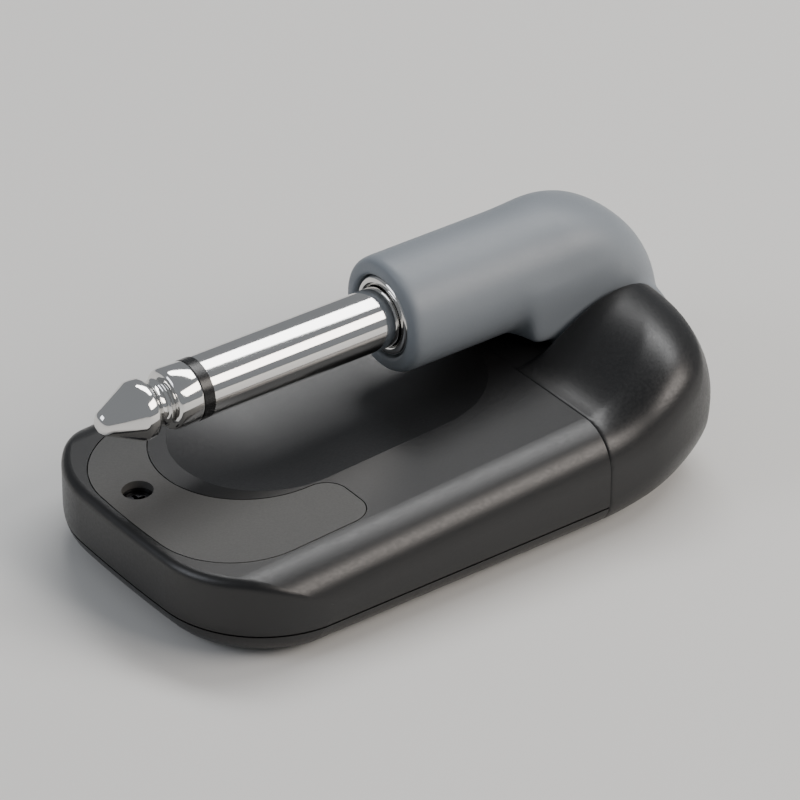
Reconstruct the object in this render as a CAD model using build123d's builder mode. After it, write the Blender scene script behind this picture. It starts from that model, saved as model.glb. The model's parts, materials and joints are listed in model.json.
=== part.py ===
"""Wireless guitar transmitter: a flat rounded body with a jack plug on an arm that folds over its face.

Frame: millimetres, +Z up. The body lies on its outer cover, with the origin under the middle of its box.
+X runs from the thin end to the hinge end, and the axle of the hinge lies along Y.
"""

import os
from math import cos, radians, sin, sqrt, tan

from build123d import *

# ---- body ----
BODY_LENGTH = 68.0
BODY_WIDTH = 38.0
THIN_END_HEIGHT = 9.4  # height of the body at its thin end
FACE_SLOPE = 3.0  # degrees that the face climbs towards the hinge
KNUCKLE_RADIUS = 8.3  # round hinge end, seen from the side
NECK_RADIUS = 14.0  # hollow curve between the face and the knuckle
RIM_RADIUS = 4.4  # rounding along both long sides
CORNER_RADIUS = 12.0  # plan corners of the thin end
END_BOW = 1.0  # how far the middle of the thin end bulges past its corners
END_ROUNDING = 4.2  # lower edge of the thin end
END_EDGE = 1.0  # upper edge of the thin end
WALL = 1.4
SEAM_SETBACK = 13.6  # from the axle to the seam between the shell and the hinge housing
PARTING_HEIGHT = 3.4  # seam between the outer cover and the main shell
SEAM_WIDTH = 0.22
SEAM_DEPTH = 0.35

# ---- arm and plug ----
ARM_CENTRE = 3.8  # the arm and its plug stand off the body's middle line, towards +Y
ARM_WIDTH = 13.0
ARM_REACH = 25.4  # from the axle to the barrel's mouth
ARM_RISE = 10.55  # from the axle up to the plug's centre line
BARREL_RADIUS = 6.15
BEND_RADIUS = 7.6  # of the barrel's centre line where it turns down to the hinge
MOUTH_ROUNDING = 1.0
LOBE_LENGTH = 2.6  # of the arm's lobe, from the disc towards the barrel's mouth
LOBE_CLEARANCE = 0.25  # between the lobe and the face below it
LOBE_ROUNDING = 1.0
SLOT_GAP = 0.4  # at each side of the arm, where a washer sits
KNUCKLE_GAP = 0.3  # between the arm's disc and the round wall of its slot
PLUG_DIAMETER = 6.35
SLEEVE_LENGTH = 22.2  # in front of the barrel's mouth
SLEEVE_ROOT = 7.0  # behind the mouth, where the sleeve is turned down for its thread
ROOT_DIAMETER = 6.0
RING_LENGTH = 1.2
TIP_GROOVE_START = 1.8  # from the ring to where the groove begins
TIP_GROOVE_END = 5.3  # from the ring to the shoulder
TIP_LENGTH = 10.6
TIP_COLLAR = 2.6  # length of the tip's collar, next to the ring
TIP_WAIST = 4.3  # diameter of the groove that the jack's spring drops into
TIP_SHOULDER = 6.2
TIP_END = 2.6
NOSE_ROUNDING = 1.1
TIP_ROD = 2.4  # diameter of the tip's rod inside the sleeve
TUBE_WALL = 0.5  # insulating tube between the rod and the sleeve
COLLAR_DIAMETER = 8.6
COLLAR_LENGTH = 1.6
COLLAR_INSET = 0.5  # the collar's face lies this far inside the mouth
NUT_DIAMETER = 8.4
NUT_LENGTH = 2.0
CHAMBER_DIAMETER = 9.0
CHAMBER_LENGTH = 7.5
LUG_THICKNESS = 0.4
LUG_GAP = 1.0

# ---- hinge ----
AXLE_DIAMETER = 5.0
AXLE_BORE = 3.0
BUSH_WALL = 1.1
BUSH_FLANGE = 1.0
BUSH_FLANGE_WIDTH = 0.9
BUSH_CLEARANCE = 0.04
WASHER_THICKNESS = 0.3
WASHER_DIAMETER = 13.0
CLIP_THICKNESS = 0.6
CLIP_GROOVE = 0.35
CLIP_WIDTH = 1.6
CLIP_PLAY = 0.06
AXLE_TAIL = 0.6  # past each clip

# ---- face ----
DISH_RADIUS = 10.3  # plan radius of the hollow under the plug
DISH_DEPTH = 1.3
DISH_START = 18.4  # from the thin end to the centre of the hollow's first round end
DISH_STOP = 33.0
PLATE_THICKNESS = 0.8
PLATE_GAP = 0.12
PLATE_END_MARGIN = 1.15
PLATE_SIDE_MARGIN = 4.7
PLATE_CORNER = 9.6
PLATE_NEAR_REACH = 20.8  # from the thin end to the tip of the plate's broad arm
PLATE_FAR_REACH = 13.0  # from the thin end to the tip of its narrow arm
PLATE_LOBE = 2.6  # rounding of the broad arm's tip
PLATE_TIP = 0.7  # rounding of the narrow arm's tip
ACCESS_HOLE = 3.2
ACCESS_INSET = 4.7  # from the thin end to the screw that shows through the plate

# ---- electronics ----
BOARD_THICKNESS = 0.8
BOARD_LENGTH = 22.0
BOARD_WIDTH = 31.6
BOARD_INSET = 8.3
BOARD_STANDOFF = 1.2
BOARD_CORNER = 1.5
BOARD_SCREW_EDGE = 3.2
BOARD_SCREW_FAR = 8.6  # from the board's +Y edge, behind the port
SHIELD_SIZE = (9.0, 9.0, 1.8)
SHIELD_ROUNDING = 0.3
CHIP_SIZE = (5.0, 5.0, 0.9)
CRYSTAL_SIZE = (3.2, 1.5, 0.8)
ANTENNA_SIZE = (1.6, 9.0, 0.9)
PACKAGE_GAP = 1.2
BATTERY_CLEARANCE = 2.8  # between the cell and the wall of the arm's slot
BATTERY_WIDTH = 25.0
BATTERY_HEIGHT = 4.6
BATTERY_GAP = 1.2
BATTERY_ROUNDING = 1.0
PAD_THICKNESS = 0.6
PORT_WIDTH = 8.9
PORT_HEIGHT = 3.2
PORT_DEPTH = 7.3
PORT_WALL = 0.3
PORT_INSET = 16.4
PORT_RECESS = 0.9  # the port's mouth lies this far inside the wall's outer face
TONGUE_THICKNESS = 0.7
TONGUE_WIDTH = 6.6
BUTTON_LENGTH = 5.0
BUTTON_HEIGHT = 2.0
BUTTON_INSET = 27.2
BUTTON_GAP = 0.15
BUTTON_TRAVEL = 0.4
BUTTON_LIP = 0.5
BUTTON_LIP_THICKNESS = 0.7
BUTTON_LIP_GAP = 0.35
SWITCH_SIZE = (4.2, 2.2, 2.4)
PLUNGER_DIAMETER = 1.4
PLUNGER_LENGTH = 1.2
LENS_DIAMETER = 1.6
LENS_INSET = 22.6
LENS_LENGTH = 2.6
LED_SIZE = (1.6, 0.8, 2.2)
LEAD_DIAMETER = 1.2
LEAD_SIDE = 10.4
LEAD_BEND = 2.4
FIT = 0.1  # plain clearance between pieces that only locate each other

# ---- screws ----
CASE_THREAD = 1.7
CASE_HEAD = 2.8
CASE_HEAD_HEIGHT = 0.8
CASE_HEAD_DEPTH = 1.9  # from the face down to the underside of the head
CASE_SCREW_LENGTH = 6.0
CASE_BOSS = 4.4
CASE_SCREW_SIDE = 9.6
CASE_SCREW_BACK = 0.8  # the two hidden screws stand this much further from the thin end
BOARD_THREAD = 1.4
BOARD_HEAD = 2.6
BOARD_HEAD_HEIGHT = 0.6
BOARD_SCREW_LENGTH = 2.6
BOARD_BOSS = 3.2
HINGE_THREAD = 1.7
HINGE_HEAD = 2.8
HINGE_HEAD_HEIGHT = 0.8
HINGE_SCREW_LENGTH = 4.6
HINGE_SCREW_SIDE = 15.0
HINGE_SCREW_HEIGHT = 7.2
HINGE_EAR = 1.6
HINGE_BOSS = 4.2
HINGE_BOSS_LENGTH = 4.4
DRIVE_DEPTH = 0.45
DRIVE_SPAN = 0.6  # share of the head's diameter
DRIVE_WIDTH = 0.16  # share of the head's diameter

# ---- places worked out from the sizes above ----
FAR = 2 * BODY_LENGTH  # a distance past everything
THIN_END = -BODY_LENGTH / 2
HALF_WIDTH = BODY_WIDTH / 2
SLOPE = radians(FACE_SLOPE)
PIVOT_X = BODY_LENGTH / 2 - KNUCKLE_RADIUS
PIVOT_Z = KNUCKLE_RADIUS
SEAM_X = PIVOT_X - SEAM_SETBACK
DISC_RADIUS = KNUCKLE_RADIUS - KNUCKLE_GAP
SLOT_RADIUS = KNUCKLE_RADIUS + KNUCKLE_GAP
SLOT_X = PIVOT_X - SLOT_RADIUS
SLOT_NEAR = ARM_CENTRE - ARM_WIDTH / 2 - SLOT_GAP
SLOT_FAR = ARM_CENTRE + ARM_WIDTH / 2 + SLOT_GAP
PLUG_Z = PIVOT_Z + ARM_RISE
MOUTH_X = PIVOT_X - ARM_REACH
TUBE_X = PIVOT_X + DISC_RADIUS - BARREL_RADIUS  # upright stretch of the arm's tube
BUSH_RADIUS = AXLE_DIAMETER / 2 + BUSH_CLEARANCE + BUSH_WALL
CLIP_START = WALL + BUSH_FLANGE + CLIP_PLAY  # from the slot's side wall
BOARD_Z = WALL + BOARD_STANDOFF
BOARD_TOP = BOARD_Z + BOARD_THICKNESS
BOARD_X = THIN_END + BOARD_INSET + BOARD_LENGTH / 2
BATTERY_START = BOARD_X + BOARD_LENGTH / 2 + BATTERY_GAP
BATTERY_LENGTH = SLOT_X - WALL - BATTERY_CLEARANCE - BATTERY_START
BATTERY_X = BATTERY_START + BATTERY_LENGTH / 2
PORT_X = THIN_END + PORT_INSET
BUTTON_X = THIN_END + BUTTON_INSET
LENS_X = THIN_END + LENS_INSET
PANEL_Z = BOARD_TOP + PORT_HEIGHT / 2  # height of the port, button and lens in the +Y side
PORT_MOUTH = HALF_WIDTH - PORT_RECESS
SLEEVE_END = MOUTH_X - SLEEVE_LENGTH
RING_END = SLEEVE_END - RING_LENGTH
SLEEVE_BACK = MOUTH_X + SLEEVE_ROOT
ARM_PLANE = Plane(origin=(PIVOT_X, ARM_CENTRE, PIVOT_Z), x_dir=(1, 0, 0), z_dir=(0, -1, 0))


def face_height(x, depth=0.0):
    """Height of the sloping face above x, or of a surface that lies depth below it."""
    return THIN_END_HEIGHT + (x - THIN_END) * tan(SLOPE) - depth / cos(SLOPE)


def face_plane(x, y=0.0, depth=0.0):
    """A plane on the sloping face, or depth below it, with its origin above (x, y)."""
    origin = (x, y, face_height(x, depth))
    return Plane(origin=origin, x_dir=(cos(SLOPE), 0, sin(SLOPE)), z_dir=(-sin(SLOPE), 0, cos(SLOPE)))


def side_outline(inset):
    """Corner points of the side view: flat base, round knuckle, hollow neck and sloping face."""
    knuckle = KNUCKLE_RADIUS - inset
    neck = NECK_RADIUS + inset
    reach = KNUCKLE_RADIUS + NECK_RADIUS
    rise = (face_height(PIVOT_X) - PIVOT_Z) * cos(SLOPE) + NECK_RADIUS
    run = sqrt(reach**2 - rise**2)
    pivot = Vector(PIVOT_X, PIVOT_Z)
    toward = Vector(-run * cos(SLOPE) - rise * sin(SLOPE), -run * sin(SLOPE) + rise * cos(SLOPE))
    centre = pivot + toward
    join = pivot + toward * (knuckle / reach)
    foot = centre + Vector(sin(SLOPE), -cos(SLOPE)) * neck
    waist = centre + ((join - centre) + (foot - centre)).normalized() * neck
    end = THIN_END + inset
    return {
        "thin_base": (end, inset),
        "base": (PIVOT_X, inset),
        "tail": (PIVOT_X + knuckle, PIVOT_Z),
        "join": (join.X, join.Y),
        "waist": (waist.X, waist.Y),
        "foot": (foot.X, foot.Y),
        "thin_top": (end, face_height(end, inset)),
    }


def plan_form(inset):
    """A tall prism on the body's plan outline, rounded along its lower edge."""
    half = HALF_WIDTH - inset
    end = THIN_END + inset
    with BuildPart() as prism:
        with BuildSketch(Plane.XY.offset(inset)):
            with BuildLine():
                ThreePointArc((end + END_BOW, half), (end, 0), (end + END_BOW, -half))
                Polyline((end + END_BOW, -half), (FAR, -half), (FAR, half), (end + END_BOW, half))
            plan = make_face()
            fillet(plan.vertices().sort_by(Axis.X)[:2], CORNER_RADIUS - inset)
        extrude(amount=FAR)
        low_edges = prism.faces().sort_by(Axis.Z)[0].edges().sort_by(Axis.X)[:-1]
        fillet(low_edges, END_ROUNDING - inset)
    return prism.part


def body_form(inset=0.0):
    """The whole outer form of the body, or the form that lies inset inside it, as one solid."""
    p = side_outline(inset)
    half = HALF_WIDTH - inset
    end = THIN_END + inset
    with BuildPart() as form:
        with BuildSketch(Plane.XZ):
            with BuildLine():
                Line(p["thin_base"], p["base"])
                ThreePointArc(p["base"], p["tail"], p["join"])
                ThreePointArc(p["join"], p["waist"], p["foot"])
                Line(p["foot"], p["thin_top"])
                Line(p["thin_top"], p["thin_base"])
            make_face()
        extrude(amount=half, both=True)
        sides = form.faces().filter_by(Axis.Y)
        rims = sides.edges().filter_by(Axis.Z, reverse=True)
        fillet(rims, RIM_RADIUS - inset)
        add(plan_form(inset), mode=Mode.INTERSECT)
    return form.part


def outer_form():
    """The body's outer form, with the thin end's upper edge eased."""
    with BuildPart() as form:
        add(body_form())
        end_edges = form.edges().filter_by(GeomType.ELLIPSE).sort_by(Axis.X)[:4]
        fillet(end_edges, END_EDGE)
    return form.part


def block(low, high):
    """A block between two opposite corners."""
    with BuildPart() as made:
        with Locations(tuple((a + b) / 2 for a, b in zip(low, high))):
            Box(*(b - a for a, b in zip(low, high)))
    return made.part


def rod(start, radius, length, hole=0.0):
    """A round bar or tube that starts on a plane and runs along its normal, or backwards."""
    with BuildPart() as made:
        with BuildSketch(start):
            Circle(radius)
            if hole:
                Circle(hole, mode=Mode.SUBTRACT)
        extrude(amount=length)
    return made.part


def along_x(x, y, z):
    """A plane at a point, with its normal along -X, towards the thin end."""
    return Plane(origin=(x, y, z), x_dir=(0, -1, 0), z_dir=(-1, 0, 0))


def along_y(x, y, z):
    """A plane at a point, with its normal along +Y."""
    return Plane(origin=(x, y, z), x_dir=(-1, 0, 0), z_dir=(0, 1, 0))


def upright(x, y, z):
    """A plane at a point, with its normal along +Z."""
    return Plane(origin=(x, y, z), x_dir=(1, 0, 0), z_dir=(0, 0, 1))


def screw(seat, thread, head, head_height, length):
    """A cross-drive screw whose head stands on the seat plane, with its shank behind the plane."""
    with BuildPart() as made:
        with BuildSketch(seat):
            Circle(head / 2)
        extrude(amount=head_height)
        with BuildSketch(seat):
            Circle(thread / 2)
        extrude(amount=-length)
        with BuildSketch(seat.offset(head_height)):
            Rectangle(head * DRIVE_SPAN, head * DRIVE_WIDTH)
            Rectangle(head * DRIVE_WIDTH, head * DRIVE_SPAN)
        extrude(amount=-DRIVE_DEPTH, mode=Mode.SUBTRACT)
    return made.part


def dish(grow=0.0):
    """The shallow hollow in the face under the plug: a trough of large radius with round ends."""
    radius = (DISH_RADIUS**2 + DISH_DEPTH**2) / (2 * DISH_DEPTH)
    start = face_plane(THIN_END + DISH_START, ARM_CENTRE, DISH_DEPTH - radius)
    run = DISH_STOP - DISH_START
    with BuildPart() as made:
        with BuildSketch(Plane(origin=start.origin, x_dir=(0, 1, 0), z_dir=start.x_dir)):
            Circle(radius + grow)
        extrude(amount=run)
        with Locations(start.origin, start.origin + start.x_dir * run):
            Sphere(radius + grow)
    return made.part


def plate_block(depth, shrink, height):
    """The end plate's shape, shrunk all round, that stands on a plane at a depth below the face."""
    end = PLATE_END_MARGIN + shrink
    side = HALF_WIDTH - PLATE_SIDE_MARGIN - shrink
    near = PLATE_NEAR_REACH - shrink
    far = PLATE_FAR_REACH - shrink
    bite = DISH_RADIUS + shrink
    with BuildPart() as made:
        with BuildSketch(face_plane(THIN_END, 0, depth)):
            with BuildLine():
                ThreePointArc((end + END_BOW, side), (end, 0), (end + END_BOW, -side))
                Line((end + END_BOW, -side), (near, -side))
                Line((near, -side), (near, ARM_CENTRE))
                Line((near, ARM_CENTRE), (far, ARM_CENTRE))
                Line((far, ARM_CENTRE), (far, side))
                Line((far, side), (end + END_BOW, side))
            outline = make_face()
            fillet(outline.vertices().sort_by(Axis.X)[:2], PLATE_CORNER - shrink)
            with Locations((DISH_START, ARM_CENTRE)):
                Circle(bite, mode=Mode.SUBTRACT)
                Rectangle(FAR, 2 * bite, align=(Align.MIN, Align.CENTER), mode=Mode.SUBTRACT)
        extrude(amount=height)
        uprights = made.edges().filter_by(Axis.Z, tolerance=2 * FACE_SLOPE)
        fillet(uprights.sort_by(Axis.X)[-2:], PLATE_LOBE - shrink)
        uprights = made.edges().filter_by(Axis.Z, tolerance=2 * FACE_SLOPE)
        fillet(uprights.filter_by(lambda edge: edge.center().Y > ARM_CENTRE).sort_by(Axis.X)[-2:], PLATE_TIP)
    return made.part


def arm_slot():
    """The space between the two cheeks that the arm turns in, open above, behind and below."""
    middle = (SLOT_NEAR + SLOT_FAR) / 2
    half = (SLOT_FAR - SLOT_NEAR) / 2
    with BuildPart() as made:
        with BuildSketch(Plane.XZ.offset(-middle)):
            with Locations((PIVOT_X, PIVOT_Z)):
                Circle(SLOT_RADIUS)
            with Locations((SLOT_X, PIVOT_Z)):
                Rectangle(FAR, FAR, align=(Align.MIN, Align.MAX))
            with Locations((PIVOT_X, PIVOT_Z)):
                Rectangle(FAR, FAR, align=(Align.MIN, Align.CENTER))
        extrude(amount=half, both=True)
        with BuildSketch(face_plane(SEAM_X, middle)):
            Rectangle(FAR, 2 * half, align=(Align.MIN, Align.CENTER))
        extrude(amount=FAR)
    return made.part


def case_screw_seats():
    """Seats of the screws that clamp the shell to the cover: one shows, two lie under the plate."""
    back = ACCESS_INSET + CASE_SCREW_BACK
    places = [(ACCESS_INSET, ARM_CENTRE), (back, -CASE_SCREW_SIDE), (back, CASE_SCREW_SIDE)]
    return [upright(THIN_END + x, y, face_height(THIN_END + x, CASE_HEAD_DEPTH)) for x, y in places]


def hinge_screw_seats():
    """Seats of the two screws that pull the hinge housing against the shell."""
    sides = (-HINGE_SCREW_SIDE, HINGE_SCREW_SIDE)
    return [along_x(SEAM_X - HINGE_EAR, side, HINGE_SCREW_HEIGHT) for side in sides]


def board_screw_seats():
    """Seats of the four screws that hold the circuit board on its standoffs."""
    near = -BOARD_WIDTH / 2 + BOARD_SCREW_EDGE
    far = BOARD_WIDTH / 2 - BOARD_SCREW_FAR
    reach = BOARD_LENGTH / 2 - BOARD_SCREW_EDGE
    return [upright(BOARD_X + end * reach, side, BOARD_TOP) for end in (-1, 1) for side in (near, far)]


def ear_block(seat, start, stop):
    """A block that ties a hinge screw's boss to the side wall, between two places along X."""
    wall = HALF_WIDTH - WALL if seat.origin.Y > 0 else -HALF_WIDTH + WALL
    near, far = sorted((wall, seat.origin.Y))
    half = HINGE_HEAD / 2
    return block((start, near, HINGE_SCREW_HEIGHT - half), (stop, far, HINGE_SCREW_HEIGHT + half))


def keep(name, part):
    """Labels a finished piece and writes its file."""
    part.label = name
    export_step(part, f"parts/{name}.step")


os.makedirs("parts", exist_ok=True)
CASE_SEATS = case_screw_seats()
HINGE_SEATS = hinge_screw_seats()
BOARD_SEATS = board_screw_seats()
OUTER = outer_form()
CAVITY = body_form(WALL)
SKIN_INNER = body_form(SEAM_DEPTH)
SLOT = arm_slot()

# The hollow inside the whole body, less the block that carries the arm's slot and the dish's wall.
with BuildPart() as hollow:
    add(CAVITY)
    add(block((SLOT_X - WALL, SLOT_NEAR - WALL, -FAR), (FAR, SLOT_FAR + WALL, FAR)), mode=Mode.SUBTRACT)
    add(dish(WALL), mode=Mode.SUBTRACT)
    add(plate_block(PLATE_THICKNESS + WALL, -WALL, FAR), mode=Mode.SUBTRACT)

# A thin outer skin, which the seams' shadow grooves are cut from.
with BuildPart() as skin:
    add(OUTER)
    add(SKIN_INNER, mode=Mode.SUBTRACT)

end_seam = block((SEAM_X, -FAR, -FAR), (SEAM_X + SEAM_WIDTH, FAR, FAR)) & skin.part
parting_seam = block((-FAR, -FAR, PARTING_HEIGHT - SEAM_WIDTH), (SEAM_X, FAR, PARTING_HEIGHT)) & skin.part

# ---- mouldings ----
with BuildPart() as main_shell:
    add(OUTER)
    add(block((-FAR, -FAR, PARTING_HEIGHT), (SEAM_X, FAR, FAR)), mode=Mode.INTERSECT)
    add(hollow.part, mode=Mode.SUBTRACT)
    for seat in CASE_SEATS:
        add(rod(seat, CASE_BOSS / 2, PARTING_HEIGHT - seat.origin.Z))
    for seat in HINGE_SEATS:
        add(rod(seat, HINGE_BOSS / 2, -HINGE_EAR))
        add(ear_block(seat, SEAM_X - HINGE_EAR, SEAM_X))
    add(dish(), mode=Mode.SUBTRACT)
    add(plate_block(PLATE_THICKNESS, 0, FAR), mode=Mode.SUBTRACT)
    for seat in CASE_SEATS:
        add(rod(seat, CASE_HEAD / 2 + FIT, FAR), mode=Mode.SUBTRACT)
        add(rod(seat, CASE_THREAD / 2 + FIT, -FAR), mode=Mode.SUBTRACT)
    for seat in HINGE_SEATS:
        add(rod(seat, HINGE_THREAD / 2 + FIT, -FAR), mode=Mode.SUBTRACT)
    for x, length, height in ((PORT_X, PORT_WIDTH, PORT_HEIGHT), (BUTTON_X, BUTTON_LENGTH, BUTTON_HEIGHT)):
        with BuildSketch(along_y(x, HALF_WIDTH - RIM_RADIUS, PANEL_Z)):
            SlotOverall(length + 2 * BUTTON_GAP, height + 2 * BUTTON_GAP)
        extrude(amount=FAR, mode=Mode.SUBTRACT)
    add(rod(along_y(LENS_X, HALF_WIDTH - RIM_RADIUS, PANEL_Z), LENS_DIAMETER / 2, FAR), mode=Mode.SUBTRACT)

with BuildPart() as hinge_housing:
    add(OUTER)
    add(block((SEAM_X, -FAR, -FAR), (FAR, FAR, FAR)), mode=Mode.INTERSECT)
    add(hollow.part, mode=Mode.SUBTRACT)
    for seat in HINGE_SEATS:
        boss = seat.offset(-HINGE_EAR)
        add(rod(boss, HINGE_BOSS / 2, -HINGE_BOSS_LENGTH))
        add(ear_block(seat, SEAM_X, SEAM_X + HINGE_BOSS_LENGTH))
        add(rod(boss, HINGE_THREAD / 2, -HINGE_BOSS_LENGTH), mode=Mode.SUBTRACT)
    add(SLOT, mode=Mode.SUBTRACT)
    add(rod(along_y(PIVOT_X, SLOT_NEAR - WALL, PIVOT_Z), BUSH_RADIUS, SLOT_FAR - SLOT_NEAR + 2 * WALL),
        mode=Mode.SUBTRACT)
    add(end_seam, mode=Mode.SUBTRACT)

with BuildPart() as outer_cover:
    add(OUTER)
    add(block((-FAR, -FAR, -FAR), (SEAM_X, FAR, PARTING_HEIGHT)), mode=Mode.INTERSECT)
    add(CAVITY, mode=Mode.SUBTRACT)
    for seat in CASE_SEATS:
        floor = Plane(origin=(seat.origin.X, seat.origin.Y, WALL))
        add(rod(floor, CASE_BOSS / 2, PARTING_HEIGHT - WALL))
    for seat in BOARD_SEATS:
        floor = Plane(origin=(seat.origin.X, seat.origin.Y, WALL))
        add(rod(floor, BOARD_BOSS / 2, BOARD_STANDOFF))
    for seat in CASE_SEATS:
        add(rod(seat, CASE_THREAD / 2, -CASE_SCREW_LENGTH), mode=Mode.SUBTRACT)
    for seat in BOARD_SEATS:
        add(rod(seat, BOARD_THREAD / 2, -BOARD_SCREW_LENGTH), mode=Mode.SUBTRACT)
    with BuildSketch(along_y(PORT_X, HALF_WIDTH - RIM_RADIUS, PANEL_Z)):
        SlotOverall(PORT_WIDTH + 2 * BUTTON_GAP, PORT_HEIGHT + 2 * BUTTON_GAP)
    extrude(amount=FAR, mode=Mode.SUBTRACT)
    add(parting_seam, mode=Mode.SUBTRACT)

with BuildPart() as end_plate:
    add(plate_block(PLATE_THICKNESS, PLATE_GAP, PLATE_THICKNESS))
    add(rod(upright(*CASE_SEATS[0].origin), ACCESS_HOLE / 2, FAR), mode=Mode.SUBTRACT)

# ---- screws ----
with BuildPart() as case_screws:
    for seat in CASE_SEATS:
        add(screw(seat, CASE_THREAD, CASE_HEAD, CASE_HEAD_HEIGHT, CASE_SCREW_LENGTH))

with BuildPart() as hinge_screws:
    for seat in HINGE_SEATS:
        add(screw(seat, HINGE_THREAD, HINGE_HEAD, HINGE_HEAD_HEIGHT, HINGE_SCREW_LENGTH))

with BuildPart() as board_screws:
    for seat in BOARD_SEATS:
        add(screw(seat, BOARD_THREAD, BOARD_HEAD, BOARD_HEAD_HEIGHT, BOARD_SCREW_LENGTH))

# ---- circuit board and what stands on it ----
with BuildPart() as circuit_board:
    with BuildSketch(Plane.XY.offset(BOARD_Z)):
        with Locations((BOARD_X, 0)):
            RectangleRounded(BOARD_LENGTH, BOARD_WIDTH, BOARD_CORNER)
        with Locations([(seat.origin.X, seat.origin.Y) for seat in BOARD_SEATS]):
            Circle(BOARD_THREAD / 2 + FIT, mode=Mode.SUBTRACT)
    extrude(amount=BOARD_THICKNESS)


def package(size, x, y):
    """A component of the given size that stands on the board at (x, y)."""
    length, width, height = size
    low = (x - length / 2, y - width / 2, BOARD_TOP)
    return block(low, (x + length / 2, y + width / 2, BOARD_TOP + height))


SHIELD_Y = -PACKAGE_GAP
CHIP_Y = SHIELD_Y - SHIELD_SIZE[1] / 2 - PACKAGE_GAP - CHIP_SIZE[1] / 2
ANTENNA_X = BOARD_X - BOARD_LENGTH / 2 + PACKAGE_GAP + ANTENNA_SIZE[0] / 2
CRYSTAL_X = BOARD_X - CHIP_SIZE[0] / 2 - PACKAGE_GAP - CRYSTAL_SIZE[0] / 2

with BuildPart() as radio_shield:
    add(package(SHIELD_SIZE, BOARD_X, SHIELD_Y))
    fillet(radio_shield.edges().filter_by(Axis.Z), SHIELD_ROUNDING)

with BuildPart() as processor_chip:
    add(package(CHIP_SIZE, BOARD_X, CHIP_Y))

with BuildPart() as crystal:
    add(package(CRYSTAL_SIZE, CRYSTAL_X, CHIP_Y))

with BuildPart() as antenna:
    add(package(ANTENNA_SIZE, ANTENNA_X, SHIELD_Y))

with BuildPart() as usb_port:
    with BuildSketch(along_y(PORT_X, PORT_MOUTH - PORT_DEPTH, PANEL_Z)):
        SlotOverall(PORT_WIDTH, PORT_HEIGHT)
    extrude(amount=PORT_DEPTH)
    with BuildSketch(along_y(PORT_X, PORT_MOUTH - PORT_DEPTH + PORT_WALL, PANEL_Z)):
        SlotOverall(PORT_WIDTH - 2 * PORT_WALL, PORT_HEIGHT - 2 * PORT_WALL)
    extrude(amount=PORT_DEPTH, mode=Mode.SUBTRACT)

with BuildPart() as usb_tongue:
    with BuildSketch(along_y(PORT_X, PORT_MOUTH - PORT_DEPTH + PORT_WALL, PANEL_Z)):
        Rectangle(TONGUE_WIDTH, TONGUE_THICKNESS)
    extrude(amount=PORT_DEPTH - 2 * PORT_WALL)

LIP_FACE = HALF_WIDTH - WALL - BUTTON_LIP_GAP
PLUNGER_FACE = LIP_FACE - BUTTON_LIP_THICKNESS
SWITCH_FACE = PLUNGER_FACE - PLUNGER_LENGTH

with BuildPart() as power_button:
    with BuildSketch(along_y(BUTTON_X, LIP_FACE, PANEL_Z)):
        SlotOverall(BUTTON_LENGTH, BUTTON_HEIGHT)
    extrude(amount=HALF_WIDTH - LIP_FACE)
    fillet(power_button.faces().sort_by(Axis.Y)[-1].edges(), BUTTON_GAP)
    with BuildSketch(along_y(BUTTON_X, PLUNGER_FACE, PANEL_Z)):
        SlotOverall(BUTTON_LENGTH + 2 * BUTTON_LIP, BUTTON_HEIGHT + 2 * BUTTON_LIP)
    extrude(amount=BUTTON_LIP_THICKNESS)

with BuildPart() as switch_plunger:
    add(rod(along_y(BUTTON_X, SWITCH_FACE, PANEL_Z), PLUNGER_DIAMETER / 2, PLUNGER_LENGTH))

with BuildPart() as power_switch:
    add(block((BUTTON_X - SWITCH_SIZE[0] / 2, SWITCH_FACE - SWITCH_SIZE[1], BOARD_TOP),
              (BUTTON_X + SWITCH_SIZE[0] / 2, SWITCH_FACE, BOARD_TOP + SWITCH_SIZE[2])))
    add(rod(along_y(BUTTON_X, SWITCH_FACE, PANEL_Z), PLUNGER_DIAMETER / 2 + FIT, -BUTTON_TRAVEL - FIT),
        mode=Mode.SUBTRACT)

with BuildPart() as light_lens:
    add(rod(along_y(LENS_X, HALF_WIDTH - LENS_LENGTH, PANEL_Z), LENS_DIAMETER / 2, LENS_LENGTH))
    fillet(light_lens.faces().sort_by(Axis.Y)[-1].edges(), FIT)

with BuildPart() as status_led:
    led_face = HALF_WIDTH - LENS_LENGTH - 2 * FIT
    add(block((LENS_X - LED_SIZE[0] / 2, led_face - LED_SIZE[1], BOARD_TOP),
              (LENS_X + LED_SIZE[0] / 2, led_face, BOARD_TOP + LED_SIZE[2])))

# ---- battery ----
with BuildPart() as battery_pad:
    pad_x = BATTERY_LENGTH / 2 - BATTERY_ROUNDING
    pad_y = BATTERY_WIDTH / 2 - BATTERY_ROUNDING
    add(block((BATTERY_X - pad_x, -pad_y, WALL), (BATTERY_X + pad_x, pad_y, WALL + PAD_THICKNESS)))

with BuildPart() as battery_cell:
    with Locations((BATTERY_X, 0, WALL + PAD_THICKNESS + BATTERY_HEIGHT / 2)):
        Box(BATTERY_LENGTH, BATTERY_WIDTH, BATTERY_HEIGHT)
    fillet(battery_cell.edges().filter_by(Axis.Y), BATTERY_ROUNDING)

# ---- hinge ----
CLIP_STARTS = (SLOT_NEAR - CLIP_START - CLIP_THICKNESS, SLOT_FAR + CLIP_START)
CLIP_BORE = AXLE_DIAMETER - 2 * CLIP_GROOVE

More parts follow.
